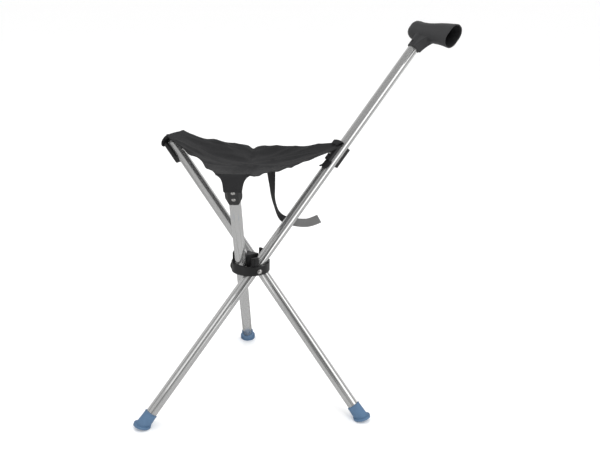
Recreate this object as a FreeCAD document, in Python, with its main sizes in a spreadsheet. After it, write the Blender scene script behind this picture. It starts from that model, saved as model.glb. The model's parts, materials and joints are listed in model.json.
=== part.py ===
import FreeCAD, Part
import math
import os
import Sketcher
from FreeCAD import Placement, Rotation, Vector

# A folding seat cane. Three leaning tubes cross in a ring-shaped hub, each on a pivot
# pin of its own, and a three-cornered sling hangs between their upper ends. One tube
# runs on past the sling to a T-shaped handle. All three legs turn upright together.
#
# Millimetres, +Z up. The hub's centre is where the three pin axes meet. Each leg is
# drawn in a leg frame at that centre: Z runs up along the tube, X points to the tube's
# outer, lower side, and -Y is the direction in which the leg's pin points outwards.

DIMENSIONS = {
    "lean_angle": "41.5",  # from the vertical, with the seat open
    "cane_azimuth": "30",  # the way the cane leg leans, from +X
    "leg_step": "120",
    "axis_offset": "17",  # from the hub's centre to each tube's axis
    "tube_radius": "9.5",
    "tube_bore": "8.3",
    "fit_gap": "0.05",
    "cloth_gap": "0.1",
    "top_reach": "269",  # from the pivot up to the end of a short tube
    "cane_reach": "515",  # from the pivot up to the end of the cane tube
    "sole_reach": "333",  # from the pivot down to the middle of a ferrule's sole
    "sole_thickness": "8",
    "ring_radius": "34",
    "ring_bore": "29.6",
    "ring_base": "-7",
    "ring_rim": "9",
    "stop_rim": "10.6",  # the rim is higher where a tube leans over it
    "stop_width": "17",
    "cheek_top": "25",
    "cheek_face": "27.4",  # flat inner face beside each tube
    "cheek_skin": "31.4",
    "cheek_width": "13",
    "cheek_ribs": "3",
    "rib_radius": "1",
    "rib_turn": "8",
    "ring_overlap": "1.4",  # bosses and stops start this far inside the wall
    "boss_radius": "5.8",
    "boss_face": "34.8",
    "core_inradius": "7",
    "core_corner": "14",
    "core_base": "-12",
    "core_top": "24",
    "pin_radius": "3",
    "pin_tip": "3.8",
    "pin_head_radius": "4.4",
    "pin_head_height": "1.9",
    "recess_span": "4.8",
    "recess_depth": "0.8",
    "recess_width": "1.2",
    "bush_radius": "4.5",
    "washer_radius": "7",
    "washer_thickness": "0.5",
    "ferrule_length": "27",
    "bead_radius": "1.1",
    "ferrule_top_radius": "11.1",
    "ferrule_base_radius": "12.5",
    "flange_radius": "15",
    "flange_height": "4",
    "flange_tilt": "25",
    "contact_depth": "1",
    "disc_thickness": "1.5",
    "plug_cap": "2",
    "plug_depth": "3",
    "plate_width": "26",
    "plate_base": "231",
    "plate_top": "270.6",
    "plate_taper": "12",
    "plate_tip_width": "13",
    "plate_back": "5",
    "plate_face": "15.5",
    "plate_chamfer": "5",
    "slim_width": "14",
    "slim_face": "14.5",
    "slim_chamfer": "2.5",
    "rivet_low": "245.5",
    "rivet_pitch": "18",
    "rivet_radius": "2",
    "rivet_head_radius": "3.4",
    "rivet_head_height": "1.8",
    "grip_centre": "528",
    "grip_open_end": "78",
    "grip_closed_end": "37",
    "grip_wall": "2.8",
    "neck_base": "489",
    "neck_radius": "12",
    "gusset_reach": "31",
    "gusset_radius": "40",
    "gusset_width": "19",
    "screw_rise": "9",  # above the neck's lower end
    "screw_radius": "1.5",
    "screw_head_radius": "2.8",
    "screw_head_height": "1.3",
    "screw_bite": "2",  # how far the screw reaches inside the tube's wall
    "sling_thickness": "3",
    "sling_gap": "0.5",
    "sling_sag": "34",
    "edge_sag": "14",
    "sling_clear": "5",  # from a tube's top to the start of its panel
    "cane_sling_clear": "11",  # the same on the cane leg, past its inner plate
    "corner_width": "32",
    "cloth": "3.5",
    "tail_length": "1.5",
    "strap_width": "17",
    "strap_thickness": "1.6",
    "strap_seam": "1.3",
}
LEGS = ["cane", "left", "front"]
SHORT_LEGS = ["left", "front"]

doc = FreeCAD.newDocument("seat_cane")
sheet = doc.addObject("Spreadsheet::Sheet", "size")
for row, (alias, number) in enumerate(DIMENSIONS.items(), start=1):
    sheet.set(f"A{row}", alias)
    sheet.set(f"B{row}", number)
    sheet.setAlias(f"B{row}", alias)
doc.recompute()

nodes = []


def number(expression):
    """The value of an expression on the sheet, such as 'size.tube_radius / 2'."""
    return float(sheet.evalExpression(expression.replace("size.", "")))


def bind(obj, **expressions):
    for name, expression in expressions.items():
        obj.setExpression(name, expression)


def cylinder(name, radius, height, place=Placement()):
    obj = doc.addObject("Part::Cylinder", name)
    bind(obj, Radius=radius, Height=height)
    obj.Placement = place
    return obj


def box(name, length, width, height, place=Placement()):
    obj = doc.addObject("Part::Box", name)
    bind(obj, Length=length, Width=width, Height=height)
    obj.Placement = place
    return obj


def fuse(name, shapes):
    obj = doc.addObject("Part::MultiFuse", name)
    obj.Shapes = shapes
    return obj


def common(name, shapes):
    obj = doc.addObject("Part::MultiCommon", name)
    obj.Shapes = shapes
    return obj


def cut(name, base, tool):
    obj = doc.addObject("Part::Cut", name)
    obj.Base = base
    obj.Tool = tool
    return obj


def at(x, y, z, rotation=Rotation()):
    return Placement(Vector(x, y, z), rotation)


def azimuth(leg):
    return number("size.cane_azimuth") + number("size.leg_step") * LEGS.index(leg)


def hub_frame():
    return Placement()


def pin_frame(leg):
    """X towards the leg's lean, -Y out along its pin, Z up."""
    return Placement(Vector(), Rotation(Vector(0, 0, 1), azimuth(leg)))


def leg_frame(leg):
    tilt = Rotation(Vector(0, 1, 0), number("size.lean_angle"))
    return pin_frame(leg) * Placement(Vector(), tilt)


def node(obj, label, frame):
    """Names a finished sub-part and stands it in its frame."""
    obj.Label = label
    obj.Placement = frame
    nodes.append(obj)
    return obj


# A cylinder's own axis is Z. These turn it out along the pin, and to the leg's outer or
# inner side.
ALONG_PIN = Rotation(Vector(1, 0, 0), 90)
ALONG_X = Rotation(Vector(0, 1, 0), 90)
ALONG_INNER = Rotation(Vector(0, 1, 0), -90)


def body_profile(label, role, points, offset="0"):
    """A PartDesign body with one closed outline, its corners bound to the sheet."""
    body = doc.addObject("PartDesign::Body", label + "_body")
    plane = [f for f in body.Origin.OriginFeatures if f.Role == role][0]
    sketch = body.newObject("Sketcher::SketchObject", label + "_outline")
    sketch.AttachmentSupport = [(plane, "")]
    sketch.MapMode = "FlatFace"
    sketch.setExpression(".AttachmentOffset.Base.z", offset)
    corners = [Vector(number(x), number(y), 0) for x, y in points]
    for index, corner in enumerate(corners):
        following = corners[(index + 1) % len(corners)]
        sketch.addGeometry(Part.LineSegment(corner, following), False)
    for index, (x, y) in enumerate(points):
        before = (index - 1) % len(points)
        sketch.addConstraint(Sketcher.Constraint("Coincident", before, 2, index, 1))
        for kind, expression in (("DistanceX", x), ("DistanceY", y)):
            start = Sketcher.Constraint(kind, -1, 1, index, 1, number(expression))
            place = sketch.addConstraint(start)
            sketch.setExpression(f"Constraints[{place}]", expression)
    return body, sketch


# ---- Hub -------------------------------------------------------------------------


def hub_ring():
    """A ring with a flat cheek, a boss and a raised stop for each leg."""
    height = "size.ring_rim - size.ring_base"
    base = at(0, 0, number("size.ring_base"))
    wall = cylinder("ring_wall", "size.ring_radius", height, base)
    hollow = cylinder("ring_hollow", "size.ring_bore", height, base)
    added = [cut("ring_band", wall, hollow)]
    holes = []
    for leg in LEGS:
        frame = pin_frame(leg)
        face = number("size.cheek_face")
        reach = number("size.ring_radius")
        low = number("size.ring_base")
        half = number("size.cheek_width")
        stock = [
            box(leg + "_pad", "2 * size.cheek_width", "size.ring_radius - size.cheek_face", height,
                frame * at(-half, -reach, low)),
            box(leg + "_cheek", "size.cheek_width", "size.ring_radius - size.cheek_face",
                "size.cheek_top - size.ring_base", frame * at(-half, -reach, low)),
        ]
        blank = fuse(leg + "_cheek_stock", stock)
        skin = cylinder(leg + "_cheek_skin", "size.cheek_skin",
                        "size.cheek_top - size.ring_base + 1", base)
        added.append(common(leg + "_cheek_block", [blank, skin]))
        for count in range(int(number("size.cheek_ribs"))):
            turn = -number("size.rib_turn") * (count + 0.5)
            foot = Vector(0, 0.4 - number("size.cheek_skin"), number("size.ring_rim - 1"))
            spot = Rotation(Vector(0, 0, 1), turn).multVec(foot)
            added.append(cylinder(f"{leg}_rib_{count}", "size.rib_radius",
                                  "size.cheek_top - size.ring_rim - size.rib_radius / 2",
                                  frame * Placement(spot, Rotation())))
        boss = cylinder(leg + "_boss", "size.boss_radius",
                        "size.boss_face - size.ring_bore - size.ring_overlap",
                        frame * at(0, -number("size.ring_bore + size.ring_overlap"), 0, ALONG_PIN))
        added.append(boss)
        lean = Rotation(Vector(0, 0, 1), -math.degrees(math.atan2(number("size.axis_offset"), face)))
        turned = frame * Placement(Vector(), lean)
        stop = box(leg + "_stop", "size.ring_radius", "size.stop_width", "size.stop_rim - size.ring_base",
                   turned * at(0, -number("size.stop_width") / 2, low))
        outer = cylinder(leg + "_stop_skin", "size.ring_radius",
                         "size.stop_rim - size.ring_base", base)
        inner = cylinder(leg + "_stop_hollow", "size.ring_bore + size.ring_overlap",
                         "size.stop_rim - size.ring_base", base)
        added.append(cut(leg + "_stop_block", common(leg + "_stop_stock", [stop, outer]), inner))
        holes.append(cylinder(leg + "_ring_hole", "size.pin_radius + size.fit_gap", "2 * size.boss_radius",
                              frame * at(0, 2 - face, 0, ALONG_PIN)))
    solid = fuse("ring_solid", added)
    drills = fuse("ring_drills", holes)
    node(cut("ring_drilled", solid, drills), "hub_ring", hub_frame())


def hub_core():
    """A three-sided post in the middle, with a flat for each leg and a pin's socket in it."""
    post = doc.addObject("Part::Prism", "core_post")
    post.Polygon = 3
    bind(post, Circumradius="2 * size.core_inradius", Height="size.core_top - size.core_base")
    spin = Rotation(Vector(0, 0, 1), number("size.cane_azimuth - size.leg_step / 4"))
    post.Placement = at(0, 0, number("size.core_base"), spin)
    trim = cylinder("core_skin", "size.core_corner", "size.core_top - size.core_base",
                    at(0, 0, number("size.core_base")))
    sockets = [
        cylinder(leg + "_socket", "size.pin_radius", "size.core_inradius",
                 pin_frame(leg) * at(0, -number("size.pin_tip"), 0, ALONG_PIN))
        for leg in LEGS
    ]
    solid = common("core_solid", [post, trim])
    node(cut("core_drilled", solid, fuse("core_sockets", sockets)), "hub_core", hub_frame())


def pivot_pin(leg):
    """A shoulder screw from the ring's boss to the core, with a domed head and a cross recess."""
    shank = cylinder(leg + "_shank", "size.pin_radius", "size.boss_face - size.pin_tip",
                     at(0, -number("size.pin_tip"), 0, ALONG_PIN))
    seat = number("size.boss_face")
    dome = dome_head(leg + "_pin_head", "size.pin_head_radius", "size.pin_head_height",
                     at(0, -seat, 0, ALONG_PIN))
    span = number("size.recess_span") / 2
    half = number("size.recess_width") / 2
    floor = -seat - number("size.pin_head_height - size.recess_depth")
    bars = [
        box(leg + "_slot_flat", "size.recess_span", "size.pin_head_height", "size.recess_width",
            at(-span, floor - number("size.pin_head_height"), -half)),
        box(leg + "_slot_tall", "size.recess_width", "size.pin_head_height", "size.recess_span",
            at(-half, floor - number("size.pin_head_height"), -span)),
    ]
    solid = fuse(leg + "_pin_solid", [shank, dome])
    screw = cut(leg + "_pin_cut", solid, fuse(leg + "_recess", bars))
    node(screw, "pivot_pin_" + leg, pin_frame(leg))


def dome_head(name, radius, height, place):
    """A shallow dome on the plane Z = 0 of its place."""
    ball = doc.addObject("Part::Sphere", name + "_ball")
    bulge = f"({radius} * {radius} + {height} * {height}) / (2 * {height})"
    bind(ball, Radius=bulge)
    ball.Placement = place * at(0, 0, number(height) - number(bulge))
    rim = cylinder(name + "_rim", radius, height, place)
    return common(name, [ball, rim])


def pivot_washer(leg):
    face = number("size.cheek_face - 0.1")
    disc = cylinder(leg + "_washer_disc", "size.washer_radius", "size.washer_thickness",
                    at(0, number("size.washer_thickness") - face, 0, ALONG_PIN))
    hole = cylinder(leg + "_washer_hole", "size.pin_radius + size.fit_gap", "4",
                    at(0, 2 - face, 0, ALONG_PIN))
    node(cut(leg + "_washer_cut", disc, hole), "pivot_washer_" + leg, pin_frame(leg))


# ---- Legs ------------------------------------------------------------------------


def screw_place():
    """The tip of the grip's screw, inside the cane tube, with Z out through the neck."""
    return at(number("size.screw_bite - size.tube_bore"), -number("size.axis_offset"),
              number("size.neck_base + size.screw_rise"), ALONG_INNER)


def leg_tube(leg):
    """A thin tube with a cross hole for the pivot bush and two for the rivets."""
    reach = "size.cane_reach" if leg == "cane" else "size.top_reach"
    low = number("size.sole_reach - size.sole_thickness")
    side = -number("size.axis_offset")
    length = f"{reach} + size.sole_reach - size.sole_thickness"
    outside = cylinder(leg + "_tube_outside", "size.tube_radius", length, at(0, side, -low))
    bore = cylinder(leg + "_tube_bore", "size.tube_bore", length, at(0, side, -low))
    across = cylinder(leg + "_bush_hole", "size.bush_radius", "2 * size.tube_radius + 2",
                      at(0, side + number("size.tube_radius") + 1, 0, ALONG_PIN))
    holes = [bore, across]
    for count in range(2):
        height = number("size.rivet_low") + number("size.rivet_pitch") * count
        holes.append(cylinder(f"{leg}_tube_rivet_{count}", "size.rivet_radius", "2 * size.tube_radius + 2",
                              at(-number("size.tube_radius") - 1, side, height, ALONG_X)))
    if leg == "cane":
        holes.append(cylinder("cane_screw_hole", "size.screw_radius", "size.tube_radius", screw_place()))
    tube = cut(leg + "_tube_cut", outside, fuse(leg + "_tube_holes", holes))
    node(tube, leg + "_tube", leg_frame(leg))


def pivot_bush(leg):
    """A nylon bush that crosses the tube and turns on the pin."""
    near = number("size.axis_offset - size.tube_radius + 0.1")
    sleeve = cylinder(leg + "_bush_sleeve", "size.bush_radius", "2 * size.tube_radius - 0.2",
                      at(0, -near, 0, ALONG_PIN))
    hole = cylinder(leg + "_bush_bore", "size.pin_radius + size.fit_gap", "2 * size.tube_radius + 2",
                    at(0, 1 - near, 0, ALONG_PIN))
    node(cut(leg + "_bush_cut", sleeve, hole), "pivot_bush_" + leg, leg_frame(leg))


def ferrule(leg):
    """A rubber foot whose flange tips towards the floor, worn flat where it stands."""
    side = -number("size.axis_offset")
    reach = number("size.sole_reach")
    tilt = Rotation(Vector(0, 1, 0), -number("size.flange_tilt"))
    extra = 12
    sleeve = doc.addObject("Part::Cone", leg + "_ferrule_sleeve")
    bind(sleeve, Radius1="size.ferrule_base_radius", Radius2="size.ferrule_top_radius",
         Height=f"size.ferrule_length + {extra}")
    sleeve.Placement = at(0, side, -reach - extra)
    bead = doc.addObject("Part::Torus", leg + "_ferrule_bead")
    bind(bead, Radius1="size.ferrule_top_radius - size.bead_radius / 2", Radius2="size.bead_radius")
    bead.Placement = at(0, side, -number("size.sole_reach - size.ferrule_length + size.bead_radius"))
    flange = cylinder(leg + "_flange", "size.flange_radius", "size.flange_height",
                      Placement(Vector(0, side, -reach), tilt))
    solid = fuse(leg + "_ferrule_solid", [sleeve, bead, flange])
    under = cylinder(leg + "_under_sole", "3 * size.flange_radius", "40",
                     Placement(Vector(0, side, -reach), tilt) * at(0, 0, -40))
    upright = Placement(Vector(), Rotation(Vector(0, 1, 0), -number("size.lean_angle")))
    floor = cylinder(leg + "_floor", "3 * size.flange_radius", "40",
                     upright * at(-reach * math.sin(math.radians(number("size.lean_angle"))),
                                  side, floor_height() - 40))
    socket = cylinder(leg + "_ferrule_socket", "size.tube_radius + size.fit_gap", "60",
                      at(0, side, -number("size.sole_reach - size.sole_thickness + size.disc_thickness")))
    tools = fuse(leg + "_ferrule_tools", [under, floor, socket])
    node(cut(leg + "_ferrule_cut", solid, tools), "ferrule_" + leg, leg_frame(leg))


def floor_height():
    """The floor's height from the hub's centre: just above the flange's lowest edge."""
    lean = math.radians(number("size.lean_angle"))
    edge = math.radians(number("size.lean_angle - size.flange_tilt"))
    lowest = number("size.sole_reach") * math.cos(lean)
    lowest += number("size.flange_radius") * math.sin(edge)
    return number("size.contact_depth") - lowest


def ferrule_disc(leg):
    """A steel disc that keeps the tube's end from cutting through the rubber."""
    low = number("size.sole_reach - size.sole_thickness + size.disc_thickness")
    disc = cylinder(leg + "_disc", "size.tube_radius - size.fit_gap", "size.disc_thickness")
    lift = at(0, -number("size.axis_offset"), -low)
    node(disc, "ferrule_disc_" + leg, leg_frame(leg) * lift)


def top_plug(leg):
    """The cap that closes a short tube under the sling's corner."""
    side = -number("size.axis_offset")
    top = number("size.top_reach")
    cap = cylinder(leg + "_cap", "size.tube_radius", "size.plug_cap", at(0, side, top))
    spigot = cylinder(leg + "_spigot", "size.tube_bore - size.fit_gap", "size.plug_depth",
                      at(0, side, top - number("size.plug_depth")))
    node(fuse(leg + "_plug", [cap, spigot]), "top_plug_" + leg, leg_frame(leg))


def plate_outline(label, width, tip, taper, chamfer, back, face, mirrored):
    """A plate beside a tube: a chamfered block, tapered at its foot and hollowed to the tube."""
    half = f"{width} / 2"
    section = [
        (back, f"-({half})"),
        (f"{face} - {chamfer}", f"-({half})"),
        (face, f"{chamfer} - {half}"),
        (face, f"{half} - {chamfer}"),
        (f"{face} - {chamfer}", half),
        (back, half),
    ]
    body, sketch = body_profile(label, "XY_Plane", section, "size.plate_base")
    pad = body.newObject("PartDesign::Pad", label + "_pad")
    pad.Profile = sketch
    bind(pad, Length="size.plate_top - size.plate_base")
    doc.recompute()
    shield = [
        (f"-({half})", "size.plate_top"),
        (f"-({half})", f"size.plate_base + {taper}"),
        (f"-({tip}) / 2", "size.plate_base"),
        (f"{tip} / 2", "size.plate_base"),
        (half, f"size.plate_base + {taper}"),
        (half, "size.plate_top"),
    ]
    front, outline = body_profile(label + "_shield", "YZ_Plane", shield)
    slab = front.newObject("PartDesign::Pad", label + "_slab")
    slab.Profile = outline
    bind(slab, Length="2 * size.plate_face")
    doc.recompute()
    side = at(0, -number("size.axis_offset"), 0)
    if mirrored:
        side = side * Placement(Vector(), Rotation(Vector(0, 0, 1), 180))
    block = common(label + "_block", [body, front])
    hollow = cylinder(label + "_saddle", "size.tube_radius + size.fit_gap", "size.plate_top",
                      at(0, 0, number("size.plate_base / 2")))
    holes = [hollow]
    for count in range(2):
        height = number("size.rivet_low") + number("size.rivet_pitch") * count
        holes.append(cylinder(f"{label}_hole_{count}", "size.rivet_radius", "2 * size.plate_face",
                              at(0, 0, height, ALONG_X)))
    plate = cut(label + "_plate", block, fuse(label + "_plate_holes", holes))
    return plate, side


def leg_plates(leg):
    if leg == "cane":
        size = ("size.slim_width", "size.slim_width - 4", "6", "size.slim_chamfer", "size.plate_back")
        for label, mirrored in (("cane_plate_outer", False), ("cane_plate_inner", True)):
            plate, side = plate_outline(label, *size, "size.slim_face", mirrored)
            node(plate, label, leg_frame(leg) * side)
    else:
        label = leg + "_plate"
        plate, side = plate_outline(label, "size.plate_width", "size.plate_tip_width",
                                    "size.plate_taper", "size.plate_chamfer", "size.plate_back",
                                    "size.plate_face", False)
        node(plate, label, leg_frame(leg) * side)


def rivets(leg):
    """Two rivets through the plates and the tube, domed outside and flat behind."""
    side = -number("size.axis_offset")
    face = "size.slim_face" if leg == "cane" else "size.plate_face"
    tail = "size.slim_face" if leg == "cane" else "size.tube_radius + size.fit_gap"
    pieces = []
    for count in range(2):
        name = f"{leg}_rivet_{count}"
        height = number("size.rivet_low") + number("size.rivet_pitch") * count
        shank = cylinder(name + "_shank", "size.rivet_radius - 0.02", f"{face} + {tail}",
                         at(-number(tail), side, height, ALONG_X))
        head = dome_head(name + "_head", "size.rivet_head_radius", "size.rivet_head_height",
                         at(number(face), side, height, ALONG_X))
        foot = dome_head(name + "_foot", "size.rivet_head_radius", "size.rivet_head_height",
                         at(-number(tail), side, height, ALONG_INNER))
        pieces.append(fuse(name, [shank, head, foot]))
    group = doc.addObject("Part::Compound", leg + "_rivet_group")
    group.Links = pieces
    node(group, "rivets_" + leg, leg_frame(leg))


# ---- Handle ----------------------------------------------------------------------

# Stations along the grip from the tube's axis towards the open end: the share of the
# way to that end, the section's height and width, and how far its middle is raised.
GRIP_STATIONS = [
    (-1.0, 15, 13, 0.5),
    (-0.94, 25, 21, 0.5),
    (-0.75, 34, 27.5, 0.5),
    (-0.25, 34.5, 29, -0.5),
    (0.25, 35, 29, -2),
    (0.6, 38, 29, -1.5),
    (1.0, 45, 30, -2.4),
]


def oblong(height, width, middle, shrink, along):
    """An upright oblong wire across the grip at a place along it."""
    r = width / 2 - shrink
    straight = max(0.4, height / 2 - width / 2)
    centre = number("size.grip_centre") + middle
    a = Vector(-r, along, centre - straight)
    b = Vector(-r, along, centre + straight)
    c = Vector(r, along, centre + straight)
    d = Vector(r, along, centre - straight)
    top = Part.Arc(b, Vector(0, along, centre + straight + r), c)
    bottom = Part.Arc(d, Vector(0, along, centre - straight - r), a)
    edges = [Part.LineSegment(a, b), top, Part.LineSegment(c, d), bottom]
    return Part.Wire([edge.toShape() for edge in edges])


def grip_place(share):
    end = "size.grip_open_end" if share > 0 else "size.grip_closed_end"
    return -number("size.axis_offset") - share * number(end)


def handle_grip():
    """A hollow T-shaped grip with a flared open end, on a neck with a gusset."""
    outer = Part.makeLoft([oblong(h, w, m, 0, grip_place(t)) for t, h, w, m in GRIP_STATIONS], True)
    wall = number("size.grip_wall")
    mouth = [s for s in GRIP_STATIONS if s[0] > 0]
    inner = Part.makeLoft([oblong(h, w, m, wall, grip_place(t)) for t, h, w, m in mouth], True)
    bar = doc.addObject("Part::Feature", "grip_bar")
    bar.Shape = outer
    cave = doc.addObject("Part::Feature", "grip_cave")
    cave.Shape = inner
    side = -number("size.axis_offset")
    base = number("size.neck_base")
    neck = cylinder("grip_neck", "size.neck_radius", "size.grip_centre - size.neck_base", at(0, side, base))
    gusset = doc.addObject("Part::Feature", "grip_gusset")
    gusset.Shape = gusset_web()
    solid = fuse("grip_solid", [bar, neck, gusset])
    depth = "size.cane_reach - size.neck_base + 0.5"
    socket = cylinder("grip_socket", "size.tube_radius + size.fit_gap", depth, at(0, side, base))
    screw = cylinder("grip_screw_hole", "size.screw_radius", "size.neck_radius", screw_place())
    tools = fuse("grip_tools", [cave, socket, screw])
    node(cut("grip_cut", solid, tools), "handle_grip", leg_frame("cane"))


def gusset_web():
    """A web with a hollow curve, from the neck to the long side of the grip."""
    side = -number("size.axis_offset")
    half = number("size.gusset_width") / 2
    start = Vector(-half, side, number("size.neck_base"))
    foot = Vector(-half, side - number("size.neck_radius") + 0.5, start.z)
    tip = Vector(-half, side - number("size.gusset_reach"), number("size.grip_centre") - 14)
    back = Vector(-half, side, tip.z)
    radius = number("size.gusset_radius")
    chord = tip - foot
    across = Vector(0, -chord.z, chord.y).normalize()
    sagitta = radius - math.sqrt(radius * radius - chord.Length * chord.Length / 4)
    middle = foot + chord * 0.5 - across * sagitta
    edges = [
        Part.LineSegment(start, foot).toShape(),
        Part.Arc(foot, middle, tip).toShape(),
        Part.LineSegment(tip, back).toShape(),
        Part.LineSegment(back, start).toShape(),
    ]
    return Part.Face(Part.Wire(edges)).extrude(Vector(2 * half, 0, 0))


def handle_screw():
    """A small self-cutting screw that keeps the grip from turning on the tube."""
    reach = "size.neck_radius - size.tube_bore + size.screw_bite"
    shank = cylinder("screw_shank", "size.screw_radius", reach, screw_place())
    head = dome_head("screw_head", "size.screw_head_radius", "size.screw_head_height",
                     screw_place() * at(0, 0, number(reach)))
    node(fuse("screw_solid", [shank, head]), "handle_screw", leg_frame("cane"))


# ---- Sling -----------------------------------------------------------------------


def leg_top(leg):
    """Where the sling's corner leaves the inner edge of a tube's top, from the hub's centre."""
    inner = -number("size.tube_radius + size.sling_gap")
    return leg_frame(leg).multVec(
        Vector(inner, -number("size.axis_offset"), number("size.top_reach + size.plug_cap")))


def prism(points, thickness):
    """A flat-sided plate under a triangle, of the given thickness downwards."""
    wire = Part.makePolygon(points + [points[0]])
    return Part.Face(wire).extrude(Vector(0, 0, -thickness))


def seat_panel(leg):
    """A third of the sling: from a leg's top to the middles of its two edges and the centre."""
    index = LEGS.index(leg)
    top = leg_top(leg)
    others = [leg_top(LEGS[(index + step) % 3]) for step in (1, 2)]
    sag = Vector(0, 0, number("size.edge_sag"))
    middles = [(top + other) * 0.5 - sag for other in others]
    centre = (top + others[0] + others[1]) * (1 / 3) - Vector(0, 0, number("size.sling_sag"))
    inward = Vector(top.x, top.y, 0).normalize() * number("size.sling_gap")
    clear = "size.cane_sling_clear" if leg == "cane" else "size.sling_clear"
    tip = top + (centre - top).normalize() * number(clear)
    thickness = number("size.sling_thickness")
    half = number("size.corner_width") / 2
    pieces = []
    for middle in middles:
        away = middle - top
        away.z = 0
        away = away - inward * (away.dot(inward) / inward.dot(inward))
        shoulder = tip + away.normalize() * half
        corners = [tip, shoulder, middle + inward, centre + inward]
        pieces.append(prism(corners[:3], thickness).fuse(
            prism([corners[0], corners[2], corners[3]], thickness)))
    panel = doc.addObject("Part::Feature", leg + "_panel")
    panel.Shape = pieces[0].fuse(pieces[1]).removeSplitter()
    node(panel, "seat_panel_" + leg, hub_frame())


def seat_corner(leg):
    """The sling's corner, wrapped over a short tube's top and down over its plate."""
    cloth = "size.cloth"
    low = "size.top_reach + size.plug_cap + size.cloth_gap"
    face = "size.plate_face + size.cloth_gap"
    points = [
        ("-size.tube_radius", low),
        (face, low),
        (face, f"{low} - size.tail_length"),
        (f"{face} + {cloth}", f"{low} - size.tail_length"),
        (f"{face} + {cloth}", f"{low} + {cloth}"),
        ("-size.tube_radius", f"{low} + {cloth}"),
    ]
    body, sketch = body_profile(leg + "_corner", "XZ_Plane", points)
    fold = body.newObject("PartDesign::Pad", leg + "_fold")
    fold.Profile = sketch
    fold.Midplane = True
    bind(fold, Length="size.corner_width")
    doc.recompute()
    node(body, "seat_corner_" + leg, leg_frame(leg) * at(0, -number("size.axis_offset"), 0))


def cane_corner():
    """The sling's corner at the cane, folded over the inner plate."""
    cloth = "size.cloth"
    face = "-(size.slim_face + size.rivet_head_height + size.cloth_gap)"
    inner = "-(size.tube_radius + size.cloth_gap)"
    top = "size.plate_top + size.cloth_gap"
    points = [
        (inner, top),
        (face, top),
        (face, f"{top} - size.tail_length"),
        (f"{face} - {cloth}", f"{top} - size.tail_length"),
        (f"{face} - {cloth}", f"{top} + {cloth}"),
        (inner, f"{top} + {cloth}"),
    ]
    body, sketch = body_profile("cane_corner", "XZ_Plane", points)
    fold = body.newObject("PartDesign::Pad", "cane_fold")
    fold.Profile = sketch
    fold.Midplane = True
    bind(fold, Length="size.slim_width + 6")
    doc.recompute()
    node(body, "seat_corner_cane", leg_frame("cane") * at(0, -number("size.axis_offset"), 0))


# ---- Wrap strap ------------------------------------------------------------------

# The strap's middle line from the sling's underside to its free end, from the hub's
# centre, and the way that its width lies on the run that starts at each point.
STRAP_ROUTE = [
    ((35, 35, 184.2), (1, 0, 0)),
    ((36, 35, 112), (0.8, -0.6, 0)),
    ((47, 38, 82), (0, -0.5, 0.9)),
    ((62, 43, 68), (0, -0.25, 0.97)),
    ((84, 46, 65), (0, -0.25, 0.97)),
    ((122, 47, 74), (0, -0.25, 0.97)),
]
HOOK_RUNS = 2  # the last runs carry the hook tape


def strap_run(start, end, way):
    """A flat strip between two points, with its width as near to a way as it can be."""
    along = end - start
    across = (way - along * (way.dot(along) / along.dot(along))).normalize()
    half = across * number("size.strap_width / 2")
    normal = along.cross(across).normalize() * number("size.strap_thickness")
    a = start - normal * 0.5
    b = end - normal * 0.5
    wire = Part.makePolygon([a - half, a + half, b + half, b - half, a - half])
    return Part.Face(wire).extrude(normal)


def strap_piece(name, label, first, last):
    runs = []
    for step in range(first, last):
        start = Vector(*STRAP_ROUTE[step][0])
        end = Vector(*STRAP_ROUTE[step + 1][0])
        if step == first:
            start = start + (end - start).normalize() * number("size.strap_seam")
        runs.append(strap_run(start, end, Vector(*STRAP_ROUTE[step][1])))
    piece = doc.addObject("Part::Feature", name)
    piece.Shape = runs[0].multiFuse(runs[1:]).removeSplitter()
    node(piece, label, hub_frame())


def strap():
    turn = len(STRAP_ROUTE) - 1 - HOOK_RUNS
    strap_piece("strap_webbing", "wrap_strap", 0, turn)
    strap_piece("strap_hooks", "hook_tab", turn, len(STRAP_ROUTE) - 1)


# ---- Assembly --------------------------------------------------------------------

hub_ring()
hub_core()
for leg in LEGS:
    pivot_pin(leg)
    pivot_washer(leg)
    leg_tube(leg)
    pivot_bush(leg)
    ferrule(leg)
    ferrule_disc(leg)
    leg_plates(leg)
    rivets(leg)
    seat_panel(leg)
for leg in SHORT_LEGS:
    top_plug(leg)
    seat_corner(leg)
cane_corner()
handle_grip()
handle_screw()
strap()
doc.recompute()

# The part stands with the middle of its footprint on the origin.
whole = Part.makeCompound([obj.Shape for obj in nodes]).optimalBoundingBox(False)
shift = Vector(-whole.Center.x, -whole.Center.y, -whole.ZMin)
for obj in nodes:
    obj.Placement = Placement(shift, Rotation()) * obj.Placement
doc.recompute()

for obj in doc.Objects:
    if "Invalid" in obj.State or "Error" in obj.State:
        raise RuntimeError(f"{obj.Name} failed: {obj.State}")
os.makedirs("parts", exist_ok=True)
for obj in nodes:
    if obj.Shape.isNull() or not obj.Shape.isValid() or obj.Shape.Volume <= 0:
        raise RuntimeError(f"{obj.Label} has no valid shape")
    obj.Shape.exportStep(f"parts/{obj.Label}.step")
print(len(nodes), "nodes; hub centre", tuple(round(c, 3) for c in shift))
for leg in LEGS:
    print(leg, "sling hinge", tuple(round(c, 3) for c in leg_top(leg) + shift))
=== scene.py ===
# %% [markdown]
# # A folding seat cane
# Three polished tubes cross in a black plastic hub. Two of them end at the corners of a
# cloth sling, and the third runs on to a T-shaped handle. This file dresses the packed
# design: it keeps the small machined and moulded parts, gives them real finishes, and
# makes the long tubes, the grip and the cloth again with finer surfaces.

# %% Load the design
import json
import math

import bpy
from mathutils import Matrix, Vector, noise


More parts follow.
